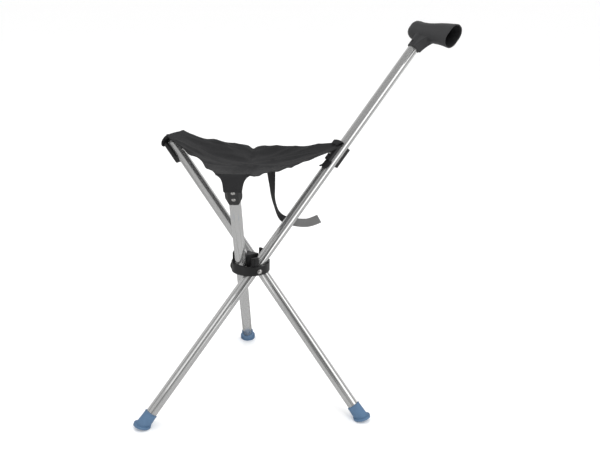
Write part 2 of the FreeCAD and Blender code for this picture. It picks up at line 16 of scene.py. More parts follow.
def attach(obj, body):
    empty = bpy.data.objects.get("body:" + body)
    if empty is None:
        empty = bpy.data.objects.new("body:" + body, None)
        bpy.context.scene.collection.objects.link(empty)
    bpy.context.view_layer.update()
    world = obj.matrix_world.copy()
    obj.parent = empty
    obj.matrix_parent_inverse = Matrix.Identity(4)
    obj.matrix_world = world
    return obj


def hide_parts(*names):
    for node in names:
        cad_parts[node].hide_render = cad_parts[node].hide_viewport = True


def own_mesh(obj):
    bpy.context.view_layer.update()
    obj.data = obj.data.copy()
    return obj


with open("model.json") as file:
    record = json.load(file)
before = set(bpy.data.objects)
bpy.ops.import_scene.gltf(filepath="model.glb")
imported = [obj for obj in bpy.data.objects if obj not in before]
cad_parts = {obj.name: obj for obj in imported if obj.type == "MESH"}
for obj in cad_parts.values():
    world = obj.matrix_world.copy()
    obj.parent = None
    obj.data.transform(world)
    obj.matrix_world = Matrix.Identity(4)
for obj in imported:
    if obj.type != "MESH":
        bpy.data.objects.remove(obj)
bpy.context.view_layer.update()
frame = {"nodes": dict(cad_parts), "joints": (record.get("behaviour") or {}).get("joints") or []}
nodes = frame["nodes"]
joints = {joint["name"]: joint for joint in frame["joints"]}
LEGS = ["cane", "left", "front"]
SHORT_LEGS = ["left", "front"]

# %% [markdown]
# ## Where things are
# Every leg turns on a pin through the hub's centre, and the joint's axis gives that pin's
# direction. A leg frame at the hub's centre makes the rest easy: Z runs up the tube, X
# points to its outer, lower side, and -Y points out along the pin. A piece is modelled
# upright in that frame, and one matrix then leans it.

# %% Leg frames
MM = 0.001
hub = Vector(joints["cane_leg_fold"]["pos_m"])
lean = math.radians(joints["cane_leg_fold"]["range_deg"][1])


def leg_matrix(leg):
    out = Vector(joints[leg + "_leg_fold"]["axis"])
    ahead = Vector((-out.y, out.x, 0))
    up = Vector((0, 0, 1))
    x = ahead * math.cos(lean) - up * math.sin(lean)
    z = ahead * math.sin(lean) + up * math.cos(lean)
    turn = Matrix((x, -out, z)).transposed().to_4x4()
    return Matrix.Translation(hub) @ turn


def span(node, leg, axis):
    """The lowest and highest place of a node along one axis of a leg's frame."""
    back = leg_matrix(leg).inverted()
    places = [(back @ v.co)[axis] for v in nodes[node].data.vertices]
    return min(places), max(places)


tube_side = sum(span("cane_tube", "cane", 1)) / 2
tube_radius = (span("cane_tube", "cane", 1)[1] - span("cane_tube", "cane", 1)[0]) / 2
print(f"tube radius {tube_radius:.4f} m, {-tube_side:.4f} m beside the pivot")

# %% [markdown]
# ## Camera
# The camera stands in front of the seat and a little above it, and looks down at it. Its
# place is measured from the hub, and its three small turns are given as angles: one
# sideways, one down, and a slight roll.

# %% Camera
CAMERA_FROM_HUB = Vector((61.6, -1311.4, 516.9)) * MM
CAMERA_YAW = math.radians(1.09)
CAMERA_PITCH = math.radians(18.55)
CAMERA_ROLL = math.radians(0.92)
SENSOR_MM = 36
LENS_MM = 47.48


def add_camera():
    data = bpy.data.cameras.new("camera")
    data.sensor_width = SENSOR_MM
    data.lens = LENS_MM
    data.clip_end = 50
    camera = bpy.data.objects.new("camera", data)
    bpy.context.scene.collection.objects.link(camera)
    turn = Matrix.Rotation(-CAMERA_YAW, 4, "Z")
    turn = turn @ Matrix.Rotation(math.pi / 2 - CAMERA_PITCH, 4, "X")
    turn = turn @ Matrix.Rotation(CAMERA_ROLL, 4, "Z")
    camera.matrix_world = Matrix.Translation(hub + CAMERA_FROM_HUB) @ turn
    bpy.context.scene.camera = camera


add_camera()

# %% [markdown]
# ## Light and floor
# The object stands in an evenly lit white tent, so the world is plain white for the camera
# and for soft light. Polished tubes need something to show, so mirror rays see another
# world: upright bands of grey and one bright screen, over a grey floor and under a dim
# ceiling. The bands lean a little, and run down the tubes as stripes. Two weak lamps give
# soft shadows.

# %% Studio
FLOOR_SIZE = 60


def add_floor():
    bpy.ops.mesh.primitive_plane_add(size=FLOOR_SIZE)
    floor = bpy.context.object
    floor.name = "floor"
    floor.visible_glossy = False
    paint = bpy.data.materials.new("pale_floor")
    paint.use_nodes = True
    shader = paint.node_tree.nodes["Principled BSDF"]
    shader.inputs["Base Color"].default_value = (0.96, 0.96, 0.96, 1)
    shader.inputs["Emission Color"].default_value = (1, 1, 1, 1)
    shader.inputs["Emission Strength"].default_value = 0.07
    shader.inputs["Roughness"].default_value = 0.75
    shader.inputs["Specular IOR Level"].default_value = 0.2
    floor.data.materials.append(paint)


def add_lamp(name, place, target, size, watts):
    data = bpy.data.lights.new(name, "AREA")
    data.shape = "RECTANGLE"
    data.size, data.size_y = size
    data.energy = watts
    lamp = bpy.data.objects.new(name, data)
    bpy.context.scene.collection.objects.link(lamp)
    lamp.location = place
    lamp.visible_glossy = False
    aim = Vector(target) - Vector(place)
    lamp.rotation_euler = aim.to_track_quat("-Z", "Y").to_euler()


# Shares of the way round the horizon, and how bright the mirror world is there.
STUDIO_BANDS = [(0.0, 0.2), (0.09, 0.45), (0.17, 0.4), (0.235, 0.06), (0.27, 0.24), (0.32, 0.26),
                (0.355, 1.5), (0.42, 1.5), (0.455, 0.34), (0.52, 0.28), (0.6, 0.62), (0.67, 0.75),
                (0.76, 0.45), (0.86, 0.5), (0.95, 0.48)]
BAND_SLANT = 0.1
MIRROR_GROUND = 0.42
MIRROR_CEILING = 0.23
# Where the ground gives way to the bands, and the bands to the ceiling, as the height of
# the direction that is looked in.
GROUND_EDGE = (-0.45, -0.25)
CEILING_EDGE = (0.62, 0.8)


def light_world(strength):
    world = bpy.data.worlds.new("studio")
    bpy.context.scene.world = world
    world.use_nodes = True
    tree = world.node_tree
    direction = tree.nodes.new("ShaderNodeTexCoord")
    around = tree.nodes.new("ShaderNodeTexGradient")
    around.gradient_type = "RADIAL"
    tree.links.new(direction.outputs["Generated"], around.inputs["Vector"])
    bands = tree.nodes.new("ShaderNodeValToRGB")
    bands.color_ramp.interpolation = "EASE"
    for place, grey in STUDIO_BANDS[1:]:
        bands.color_ramp.elements.new(place).color = (grey, grey, grey, 1)
    for end in (0, -1):
        grey = STUDIO_BANDS[0][1]
        bands.color_ramp.elements[end].color = (grey, grey, grey, 1)
    parts = tree.nodes.new("ShaderNodeSeparateXYZ")
    tree.links.new(direction.outputs["Generated"], parts.inputs[0])
    slant = tree.nodes.new("ShaderNodeMath")
    slant.operation = "MULTIPLY_ADD"
    tree.links.new(parts.outputs["Z"], slant.inputs[0])
    slant.inputs[1].default_value = -BAND_SLANT
    tree.links.new(around.outputs["Fac"], slant.inputs[2])
    whole_turn = tree.nodes.new("ShaderNodeMath")
    whole_turn.operation = "FRACT"
    tree.links.new(slant.outputs["Value"], whole_turn.inputs[0])
    tree.links.new(whole_turn.outputs["Value"], bands.inputs["Fac"])

    def blend(share, first, second):
        mix = tree.nodes.new("ShaderNodeMix")
        mix.data_type = "RGBA"
        tree.links.new(share, mix.inputs["Factor"])
        for name, value in (("A", first), ("B", second)):
            if isinstance(value, float):
                mix.inputs[name].default_value = (value, value, value, 1)
            else:
                tree.links.new(value, mix.inputs[name])
        return mix.outputs["Result"]

    def height_share(low, high):
        reach = tree.nodes.new("ShaderNodeMapRange")
        reach.interpolation_type = "SMOOTHSTEP"
        reach.inputs["From Min"].default_value = low
        reach.inputs["From Max"].default_value = high
        tree.links.new(parts.outputs["Z"], reach.inputs["Value"])
        return reach.outputs["Result"]

    grounded = blend(height_share(*GROUND_EDGE), MIRROR_GROUND, bands.outputs["Color"])
    closed = blend(height_share(*CEILING_EDGE), grounded, MIRROR_CEILING)
    sight = tree.nodes.new("ShaderNodeLightPath")
    seen = blend(sight.outputs["Is Glossy Ray"], 1.0, closed)
    background = tree.nodes["Background"]
    tree.links.new(seen, background.inputs["Color"])
    background.inputs["Strength"].default_value = strength


bpy.context.scene.view_settings.view_transform = "Standard"
add_floor()
light_world(1.0)
add_lamp("key", hub + Vector((1.4, -1.9, 2.4)), hub, (1.6, 1.6), 26)
add_lamp("top_soft", hub + Vector((-0.3, 0.3, 2.6)), hub, (2.4, 2.4), 18)
print("camera, floor and lamps are in place")

# %% [markdown]
# Two cards stand beside the lower legs and show only in mirror finishes. A dark one draws
# a dark line down the left leg, and a bright one draws a white line down the cane.

# %% Mirror cards
CARD_FOOT = -0.36
CARD_DISTANCE = 0.3


def add_card(name, leg, top, bearing, rise, width, glow):
    """A strip along a leg's lower part. Bearing and rise say where it stands from the leg."""
    matrix = leg_matrix(leg)
    toward = Vector((math.cos(bearing) * math.cos(rise), math.sin(bearing) * math.cos(rise),
                     math.sin(rise)))
    along = matrix.to_3x3() @ Vector((0, 0, 1))
    aside = along.cross(toward).normalized() * width / 2
    middle = matrix @ Vector((0, tube_side, 0)) + toward * CARD_DISTANCE
    foot = middle + along * CARD_FOOT
    head = middle + along * top
    mesh = bpy.data.meshes.new(name)
    mesh.from_pydata([foot - aside, foot + aside, head + aside, head - aside], [], [(0, 1, 2, 3)])
    card = bpy.data.objects.new(name, mesh)
    bpy.context.scene.collection.objects.link(card)
    paint = bpy.data.materials.new(name)
    paint.use_nodes = True
    shader = paint.node_tree.nodes["Principled BSDF"]
    shader.inputs["Base Color"].default_value = (0, 0, 0, 1)
    shader.inputs["Specular IOR Level"].default_value = 0
    shader.inputs["Emission Color"].default_value = (1, 1, 1, 1)
    shader.inputs["Emission Strength"].default_value = glow
    mesh.materials.append(paint)
    card.visible_camera = False
    card.visible_diffuse = False
    card.visible_shadow = False


add_card("dark_flag", "left", -0.02, math.radians(-82), math.radians(21), 0.17, 0.01)
add_card("bright_strip", "cane", -0.05, math.radians(-115), math.radians(24), 0.14, 0.95)

# %% [markdown]
# ## Finishes
# Each finish is a small node tree. A helper makes the plain shader first, and the finish
# then adds its own grain. Patterns read Object coordinates, which are metres here, so a
# noise scale of 1000 has features about a millimetre across.

# %% Material helpers


def new_material(name, color, roughness, metallic=0.0):
    paint = bpy.data.materials.new(name)
    paint.use_nodes = True
    shader = paint.node_tree.nodes["Principled BSDF"]
    shader.inputs["Base Color"].default_value = (*color, 1)
    shader.inputs["Roughness"].default_value = roughness
    shader.inputs["Metallic"].default_value = metallic
    return paint, shader


def add_node(paint, kind, **values):
    node = paint.node_tree.nodes.new(kind)
    for name, value in values.items():
        node.inputs[name.replace("_", " ")].default_value = value
    return node


def link(paint, source, target):
    paint.node_tree.links.new(source, target)


def object_place(paint):
    return paint.node_tree.nodes.new("ShaderNodeTexCoord").outputs["Object"]


def add_noise(paint, scale, detail=3.0, place=None):
    grain = add_node(paint, "ShaderNodeTexNoise", Scale=scale, Detail=detail)
    link(paint, place or object_place(paint), grain.inputs["Vector"])
    return grain.outputs["Fac"]


def spread(paint, source, low, high):
    """Turns a 0 to 1 pattern into numbers from low to high."""
    reach = add_node(paint, "ShaderNodeMapRange", To_Min=low, To_Max=high)
    link(paint, source, reach.inputs["Value"])
    return reach.outputs["Result"]


def add_bump(paint, shader, source, distance, strength=1.0):
    bump = add_node(paint, "ShaderNodeBump", Distance=distance, Strength=strength)
    link(paint, source, bump.inputs["Height"])
    link(paint, bump.outputs["Normal"], shader.inputs["Normal"])


def vary_color(paint, shader, source, dark, light):
    mix = paint.node_tree.nodes.new("ShaderNodeMix")
    mix.data_type = "RGBA"
    mix.inputs["A"].default_value = (*dark, 1)
    mix.inputs["B"].default_value = (*light, 1)
    link(paint, source, mix.inputs["Factor"])
    link(paint, mix.outputs["Result"], shader.inputs["Base Color"])


# %% [markdown]
# The tubes are drawn aluminium, anodised and bright, mostly mirror and a little milky.
# Drawing leaves very fine lines along the tube. Noise that is stretched along the length
# gives them: the leg frame turns the pattern to the tube, so each leg has its own copy of
# the finish.

# %% Polished aluminium


def polished_tube(leg):
    paint, shader = new_material(leg + "_tube_polish", (0.79, 0.79, 0.785), 0.1, 0.85)
    turn = add_node(paint, "ShaderNodeMapping")
    turn.vector_type = "TEXTURE"
    matrix = leg_matrix(leg)
    turn.inputs["Location"].default_value = matrix.translation
    turn.inputs["Rotation"].default_value = matrix.to_euler()
    link(paint, object_place(paint), turn.inputs["Vector"])
    stretch = add_node(paint, "ShaderNodeMapping")
    stretch.inputs["Scale"].default_value = (1, 1, 0.012)
    link(paint, turn.outputs["Vector"], stretch.inputs["Vector"])
    lines = add_noise(paint, 700, 3, stretch.outputs["Vector"])
    cloudy = add_noise(paint, 38, 3)
    link(paint, spread(paint, cloudy, 0.07, 0.15), shader.inputs["Roughness"])
    add_bump(paint, shader, lines, 0.00001, 0.05)
    return paint


# %% [markdown]
# The moulded parts are black plastic. The hub and brackets have a slight satin shine, and
# the grip has a fine matte grain, with a little wear that lightens it in patches.

# %% Plastics, rubber and steel
SATIN_SPREAD = 0.08
WEAR_GAIN = 1.45
WEAR_LIFT = 0.001


def moulded_plastic(name, color, roughness, grain, depth):
    paint, shader = new_material(name, color, roughness)
    fine = add_noise(paint, grain, 2)
    broad = add_noise(paint, 55, 3)
    satin = spread(paint, broad, roughness - SATIN_SPREAD, roughness + SATIN_SPREAD)
    link(paint, satin, shader.inputs["Roughness"])
    lighter = tuple(channel * WEAR_GAIN + WEAR_LIFT for channel in color)
    vary_color(paint, shader, broad, color, lighter)
    add_bump(paint, shader, fine, depth, 0.5)
    return paint


def ferrule_rubber():
    paint, shader = new_material("ferrule_rubber", (0.08, 0.155, 0.27), 0.62)
    dust = add_noise(paint, 90, 4)
    vary_color(paint, shader, dust, (0.07, 0.14, 0.245), (0.1, 0.185, 0.305))
    link(paint, spread(paint, dust, 0.5, 0.75), shader.inputs["Roughness"])
    add_bump(paint, shader, add_noise(paint, 1500, 2), 0.00004, 0.6)
    return paint


def plated_steel():
    paint, shader = new_material("plated_steel", (0.74, 0.73, 0.71), 0.22, 1.0)
    smear = add_noise(paint, 420, 3)
    link(paint, spread(paint, smear, 0.15, 0.34), shader.inputs["Roughness"])
    return paint


def blackened_steel():
    paint, shader = new_material("blackened_steel", (0.03, 0.03, 0.03), 0.5, 0.4)
    link(paint, spread(paint, add_noise(paint, 420, 3), 0.4, 0.6), shader.inputs["Roughness"])
    return paint


def natural_nylon():
    paint, shader = new_material("natural_nylon", (0.72, 0.71, 0.66), 0.4)
    cloudy = add_noise(paint, 200, 2)
    vary_color(paint, shader, cloudy, (0.66, 0.65, 0.6), (0.76, 0.75, 0.7))
    shader.inputs["Subsurface Weight"].default_value = 0.1
    return paint


hub_paint = moulded_plastic("hub_plastic", (0.009, 0.009, 0.0095), 0.36, 1300, 0.00003)
bracket_paint = moulded_plastic("bracket_plastic", (0.011, 0.011, 0.0115), 0.4, 1300, 0.00003)
grip_paint = moulded_plastic("grip_plastic", (0.024, 0.024, 0.0255), 0.5, 900, 0.00005)
rubber_paint = ferrule_rubber()
steel_paint = plated_steel()
black_steel_paint = blackened_steel()
nylon_paint = natural_nylon()

# %% [markdown]
# The design's own small parts are already the right shape, so they only get a finish. The
# first letters of a node's name say what it is made of.

# %% Dress the kept nodes
FINISH_BY_START = {
    "hub_": hub_paint,
    "pivot_pin": steel_paint,
    "pivot_washer": nylon_paint,
    "pivot_bush": nylon_paint,
    "ferrule_disc": steel_paint,
    "rivets": steel_paint,
    "handle_screw": black_steel_paint,
    "ferrule_": rubber_paint,
    "top_plug": bracket_paint,
    "cane_plate": bracket_paint,
    "left_plate": bracket_paint,
    "front_plate": bracket_paint,
}


def dress(node, paint):
    slots = nodes[node].material_slots
    if not slots:
        nodes[node].data.materials.append(paint)
    for slot in slots:
        slot.material = paint


for name in nodes:
    for start, paint in FINISH_BY_START.items():
        if name.startswith(start):
            dress(name, paint)
            break

# %% [markdown]
# ## Modelling helpers
# Operators act on whatever is selected, so each step first clears the selection.

# %% Operator helpers


def select_only(obj):
    bpy.ops.object.select_all(action="DESELECT")
    obj.select_set(True)
    bpy.context.view_layer.objects.active = obj


def stand_in(obj, matrix):
    """Carries a piece from its upright drawing place to its own and applies the move."""
    obj.matrix_world = matrix @ obj.matrix_world
    select_only(obj)
    bpy.ops.object.transform_apply(location=True, rotation=True, scale=True)


def apply_modifiers(obj):
    select_only(obj)
    for modifier in list(obj.modifiers):
        bpy.ops.object.modifier_apply(modifier=modifier.name)


def finish_piece(obj, name, paint, body, slot, *replaced):
    obj.name = name
    obj.data.name = name
    obj.data.materials.clear()
    obj.data.materials.append(paint)
    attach(obj, body)
    if replaced:
        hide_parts(*replaced)


# %% [markdown]
# ## Tubes
# The design's long tubes come out with few sides, which shows as flats in a mirror finish.
# Each is made again as a finely divided cylinder. Its end faces are taken off, a Solidify
# modifier gives it a wall, and a small bevel rounds the cut ends.

# %% Tubes
TUBE_SIDES = 128
TUBE_WALL = 1.2 * MM
END_BEVEL = 0.25 * MM


def make_tube(leg):
    low, high = span(leg + "_tube", leg, 2)
    bpy.ops.mesh.primitive_cylinder_add(
        vertices=TUBE_SIDES, radius=tube_radius, depth=high - low, end_fill_type="NOTHING",
        location=(0, tube_side, (low + high) / 2))
    tube = bpy.context.object
    wall = tube.modifiers.new("wall", "SOLIDIFY")
    wall.thickness = TUBE_WALL
    wall.offset = -1
    edge = tube.modifiers.new("edge", "BEVEL")
    edge.width = END_BEVEL
    edge.segments = 2
    edge.limit_method = "ANGLE"
    apply_modifiers(tube)
    stand_in(tube, leg_matrix(leg))
    select_only(tube)
    bpy.ops.object.shade_smooth_by_angle(angle=math.radians(35))
    finish_piece(tube, leg + "_polished_tube", polished_tube(leg), leg + "_leg", "aluminium",
                 leg + "_tube")
    print(tube.name, len(tube.data.polygons), "faces")


for leg in LEGS:
    make_tube(leg)


# %% [markdown]
# ## The sling
# The seat is one cloth with three corners. It is drawn as it was cut: a triangle with
# blunt corners and hems that curve inwards. Its mesh is six fans of quads, two to a leg,
# that run from a corner to the middle, so it can be parted later where it folds. The
# drawing starts slack, and a cloth simulation lets it fall into folds between its corners.

# %% Cut the cloth
ROWS = 44
COLUMNS = 22
CORNER_HALF = {"cane": 10 * MM, "left": 25 * MM, "front": 27 * MM}
CORNER_LIFT = {"cane": -2 * MM, "left": 7 * MM, "front": 3 * MM}
HEM_BOW = {("cane", "left"): 21 * MM, ("left", "front"): 29 * MM, ("front", "cane"): 33 * MM}
EDGE_SAG = 1 * MM
MIDDLE_SAG = 32 * MM
CUT_NOISE = 2 * MM
CUT_WAVES = 22
CUT_RIPPLES = 2.7
CUT_CALM = 50 * MM
RUFFLE = 4 * MM
WRINKLE = 2.2 * MM
GRAVITY_SHARE = 0.35

corner_place = {leg: Vector(joints[leg + "_panel_drop"]["pos_m"]) + Vector((0, 0, CORNER_LIFT[leg]))
                for leg in LEGS}
pin_way = {leg: Vector(joints[leg + "_leg_fold"]["axis"]) for leg in LEGS}
seat_middle = sum(corner_place.values(), Vector()) / 3


def hem_point(leg, other, share):
    """A place on the hem between two legs' corners, with share from 0 to 1."""
    side = 1 if LEGS.index(other) == (LEGS.index(leg) - 1) % 3 else -1
    start = corner_place[leg] + pin_way[leg] * CORNER_HALF[leg] * side
    end = corner_place[other] - pin_way[other] * CORNER_HALF[other] * side
    middle = (start + end) / 2
    inward = Vector((seat_middle.x - middle.x, seat_middle.y - middle.y, 0)).normalized()
    bow = 4 * share * (1 - share)
    depth = HEM_BOW.get((leg, other)) or HEM_BOW[other, leg]
    return start.lerp(end, share) + inward * depth * bow - Vector((0, 0, EDGE_SAG * bow))


def spine_point(leg, share):
    """A place on the line from a leg's corner to the middle of the seat."""
    drop = MIDDLE_SAG * math.sin(share * math.pi / 2)
    return corner_place[leg].lerp(seat_middle, share) - Vector((0, 0, drop))


def cut_sling():
    """The slack cloth as one mesh. Returns the object and the leg that each face belongs to."""
    points, faces, owners, hem = [], [], [], []
    for leg in LEGS:
        for step in (1, 2):
            other = LEGS[(LEGS.index(leg) + step) % 3]
            base = len(points)
            for row in range(ROWS + 1):
                along = row / ROWS
                spine = spine_point(leg, along)
                edge = hem_point(leg, other, along / 2)
                for column in range(COLUMNS + 1):
                    across = column / COLUMNS
                    place = spine.lerp(edge, across)
                    bend = spine.z + (edge.z - spine.z) * across ** 1.6
                    points.append(Vector((place.x, place.y, bend)))
                    hem.append((edge - spine).length * (1 - across))
            for row in range(ROWS):
                for column in range(COLUMNS):
                    a = base + row * (COLUMNS + 1) + column
                    quad = (a, a + COLUMNS + 1, a + COLUMNS + 2, a + 1)
                    faces.append(quad if step == 1 else quad[::-1])
                    owners.append(LEGS.index(leg))
    mesh = bpy.data.meshes.new("sling")
    mesh.from_pydata(points, [], faces)
    mesh.attributes.new("owner", "INT", "FACE").data.foreach_set("value", owners)
    mesh.attributes.new("hem", "FLOAT", "POINT").data.foreach_set("value", hem)
    pattern = mesh.uv_layers.new(name="cloth")
    for loop in mesh.loops:
        place = mesh.vertices[loop.vertex_index].co - seat_middle
        pattern.data[loop.index].uv = (place.x, place.y)
    cloth = bpy.data.objects.new("sling", mesh)
    bpy.context.scene.collection.objects.link(cloth)
    select_only(cloth)
    bpy.ops.object.mode_set(mode="EDIT")
    bpy.ops.mesh.select_all(action="SELECT")
    bpy.ops.mesh.remove_doubles(threshold=0.01 * MM)
    bpy.ops.mesh.normals_make_consistent(inside=False)
    bpy.ops.object.mode_set(mode="OBJECT")
    if sum(polygon.normal.z for polygon in mesh.polygons) < 0:
        mesh.flip_normals()
    print("sling cut from", len(mesh.polygons), "faces")
    return cloth


def rumple(cloth):
    """Small uneven lifts, the same on each run, so that the slack can fold."""
    for vertex in cloth.data.vertices:
        place = vertex.co * CUT_WAVES
        nearest = min((vertex.co - corner).length for corner in corner_place.values())
        loose = min(1.0, nearest / CUT_CALM)
        vertex.co.z += CUT_NOISE * loose * noise.noise(place)
        vertex.co.z += CUT_NOISE * 0.5 * loose * noise.noise(place * CUT_RIPPLES)


# %% [markdown]
# The simulation pins the three corner edges and lets gravity do the rest. It runs for a
# fixed number of steps, its result is applied, and one subdivision rounds the folds.

# %% Let it hang
SETTLE_FRAMES = 36
HELD_REACH = 40 * MM
HELD_SLACK = 1.5 * MM


def hang(cloth):
    group = cloth.vertex_groups.new(name="held")
    for vertex in cloth.data.vertices:
        for leg in LEGS:
            away = vertex.co - corner_place[leg]
            outward = Vector((-pin_way[leg].y, pin_way[leg].x, 0))
            if away.length < HELD_REACH and away.dot(outward) > -HELD_SLACK:
                group.add([vertex.index], 1.0, "REPLACE")
    fall = cloth.modifiers.new("fall", "CLOTH")
    fall.settings.vertex_group_mass = "held"
    fall.settings.quality = 8
    fall.settings.mass = 0.25
    fall.settings.tension_stiffness = 90
    fall.settings.compression_stiffness = 70
    fall.settings.shear_stiffness = 12
    fall.settings.bending_stiffness = 0.6
    fall.settings.air_damping = 2
    fall.settings.effector_weights.gravity = GRAVITY_SHARE
    fall.collision_settings.use_self_collision = False
    fall.collision_settings.use_collision = False
    fall.point_cache.frame_start = 1
    fall.point_cache.frame_end = SETTLE_FRAMES
    for count in range(1, SETTLE_FRAMES + 1):
        bpy.context.scene.frame_set(count)
        bpy.context.view_layer.update()
    select_only(cloth)
    bpy.ops.object.modifier_apply(modifier="fall")


sling = cut_sling()
cut_area = {leg: 0.0 for leg in LEGS}
for polygon, owner in zip(sling.data.polygons, sling.data.attributes["owner"].data):
    cut_area[LEGS[owner.value]] += polygon.area
rumple(sling)
hang(sling)
lowest = min(vertex.co.z for vertex in sling.data.vertices)
print(f"sling sags {seat_middle.z - lowest:.3f} m")


# %% [markdown]
# A cloth that is folded away every day keeps a crease where it folds. Here that is the
# line from the middle of each hem to the middle of the seat, and the one at the back is
# the deepest. The hem is turned over and sewn, so it is thicker than the cloth.

# %% Crease and thicken
CREASE_DEPTH = {("cane", "left"): 4.5 * MM, ("left", "front"): 1.6 * MM,
                ("front", "cane"): 1.6 * MM}
CREASE_SHARE = 0.53
CREASE_WIDTH = 6 * MM
CLOTH_HALF = 0.45 * MM
HEM_EXTRA = 0.55 * MM
HEM_WIDTH = 9 * MM
STITCH_FROM_EDGE = 7.5 * MM
# How many bumps there are to the metre, along and across the way to a corner.
RIDGES = (9, 48)
BROAD_FOLDS = (14, 24)
HEM_WAVES = 21
HEM_RIPPLES = 50
HEM_SWAY = 24
HEM_REACH = 11 * MM
CORNER_CALM = 30 * MM


def wrinkle(cloth):
    """Long ridges that run towards the corners, and waves along the hems."""
    outward = {leg: (corner_place[leg] - seat_middle).to_2d().normalized() for leg in LEGS}
    hem = cloth.data.attributes["hem"].data
    for vertex in cloth.data.vertices:
        place = (vertex.co - seat_middle).to_2d()
        inside = min((corner_place[leg] - vertex.co).to_2d().dot(outward[leg]) for leg in LEGS)
        loose = max(0.0, min(1.0, inside / CORNER_CALM))
        lift, total = 0.0, 1e-6
        for leg in LEGS:
            along = place.dot(outward[leg])
            aside = place.cross(outward[leg])
            weight = max(0.0, along) ** 2
            layer = 3 * LEGS.index(leg)
            ridge = noise.noise(Vector((along * RIDGES[0], aside * RIDGES[1], layer)))
            fold = noise.noise(Vector((along * BROAD_FOLDS[0] + 7, aside * BROAD_FOLDS[1], layer)))
            lift += weight * (1 - 3 * abs(ridge) + 1.2 * fold)
            total += weight
        vertex.co.z += WRINKLE * loose * lift / total * 0.6
        ruffle = RUFFLE * math.exp(-hem[vertex.index].value / HEM_REACH) * loose
        wave = noise.noise(vertex.co * HEM_WAVES) + 0.35 * noise.noise(vertex.co * HEM_RIPPLES)
        vertex.co.z += ruffle * wave
        inward = Vector((-place.x, -place.y, 0)).normalized()
        vertex.co += inward * ruffle * noise.noise(vertex.co * HEM_SWAY + Vector((9, 0, 0)))


def crease(cloth):
    for (leg, other), depth in CREASE_DEPTH.items():
        end = hem_point(leg, other, CREASE_SHARE)
        line = Vector((end.x - seat_middle.x, end.y - seat_middle.y))
        for vertex in cloth.data.vertices:
            place = Vector((vertex.co.x - seat_middle.x, vertex.co.y - seat_middle.y))
            along = place.dot(line) / line.length_squared
            if along > 0:
                aside = (place - line * along).length
                strength = min(1.0, along * 1.6)
                vertex.co.z -= depth * strength * math.exp(-((aside / CREASE_WIDTH) ** 2))


def half_thickness(from_hem):
    turned = max(0.0, min(1.0, (HEM_WIDTH - from_hem) / (2 * MM)))
    groove = math.exp(-(((from_hem - STITCH_FROM_EDGE) / (1.2 * MM)) ** 2))
    return CLOTH_HALF + HEM_EXTRA * (turned - 0.6 * turned * groove)


def part_sling(cloth, leg):
    """One leg's third of the cloth as a closed shell, shaded with the whole cloth's normals."""
    mesh = cloth.data
    owners = [value.value for value in mesh.attributes["owner"].data]
    hem = [value.value for value in mesh.attributes["hem"].data]
    pattern = mesh.uv_layers["cloth"].data
    mine = [p for p in mesh.polygons if owners[p.index] == LEGS.index(leg)]
    used = sorted({index for p in mine for index in p.vertices})
    new = {old: count for count, old in enumerate(used)}
    normals = [mesh.vertices[old].normal.copy() for old in used]
    lift = [normals[new[old]] * half_thickness(hem[old]) for old in used]
    flat = {}
    for p in mine:
        for corner, old in zip(p.loop_indices, p.vertices):
            flat[old] = tuple(pattern[corner].uv)
    points = [mesh.vertices[old].co + lift[new[old]] for old in used]
    points += [mesh.vertices[old].co - lift[new[old]] for old in used]
    under = len(used)
    faces, shading, edges = [], [], {}
    for p in mine:
        ring = [new[old] for old in p.vertices]
        faces.append(ring)
        shading += [normals[index] for index in ring]
        back = [index + under for index in reversed(ring)]
        faces.append(back)
        shading += [-normals[index - under] for index in back]
        for a, b in zip(ring, ring[1:] + ring[:1]):
            edges.setdefault(frozenset((a, b)), []).append((a, b))
    for ways in edges.values():
        if len(ways) == 1:
            a, b = ways[0]
            rim = [b, a, a + under, b + under]
            side = (points[a] - points[b]).cross(points[a + under] - points[a]).normalized()
            faces.append(rim)
            shading += [side] * 4
    part = bpy.data.meshes.new("sling_" + leg)
    part.from_pydata(points, [], faces)
    layer = part.uv_layers.new(name="cloth")
    for loop in part.loops:
        layer.data[loop.index].uv = flat[used[loop.vertex_index % under]]
    edge = [hem[old] for old in used]
    part.attributes.new("hem", "FLOAT", "POINT").data.foreach_set("value", edge * 2)
    part.shade_smooth()
    part.normals_split_custom_set(shading)
    obj = bpy.data.objects.new("sling_" + leg, part)
    bpy.context.scene.collection.objects.link(obj)
    return obj


# %% [markdown]
# The cloth is a close plain-weave nylon, nearly black, with a soft sheen. Two sets of fine
# waves across the cloth's own pattern make the weave, and a dashed line near the hem is
# the sewing. Both read the cloth's UV map, which is the flat cut in metres.

# %% Woven nylon
THREAD_SCALE = 1150
STITCH_HALF = 0.45 * MM
DARK_NYLON = (0.008, 0.008, 0.009)
PALE_NYLON = (0.019, 0.019, 0.0205)


def add_math(paint, operation, first, second=None):
    step = paint.node_tree.nodes.new("ShaderNodeMath")
    step.operation = operation
    for place, value in enumerate((first, second)):
        if value is None:
            continue
        if isinstance(value, (int, float)):
            step.inputs[place].default_value = value
        else:
            link(paint, value, step.inputs[place])
    return step.outputs["Value"]


def spread_from(paint, source, low, high):
    """Turns a pattern between low and high into one from 0 to 1."""
    reach = add_node(paint, "ShaderNodeMapRange", From_Min=low, From_Max=high)
    link(paint, source, reach.inputs["Value"])
    return reach.outputs["Result"]


def thread_waves(paint, across, threads):
    return add_math(paint, "SINE", add_math(paint, "MULTIPLY", across, threads * math.tau))


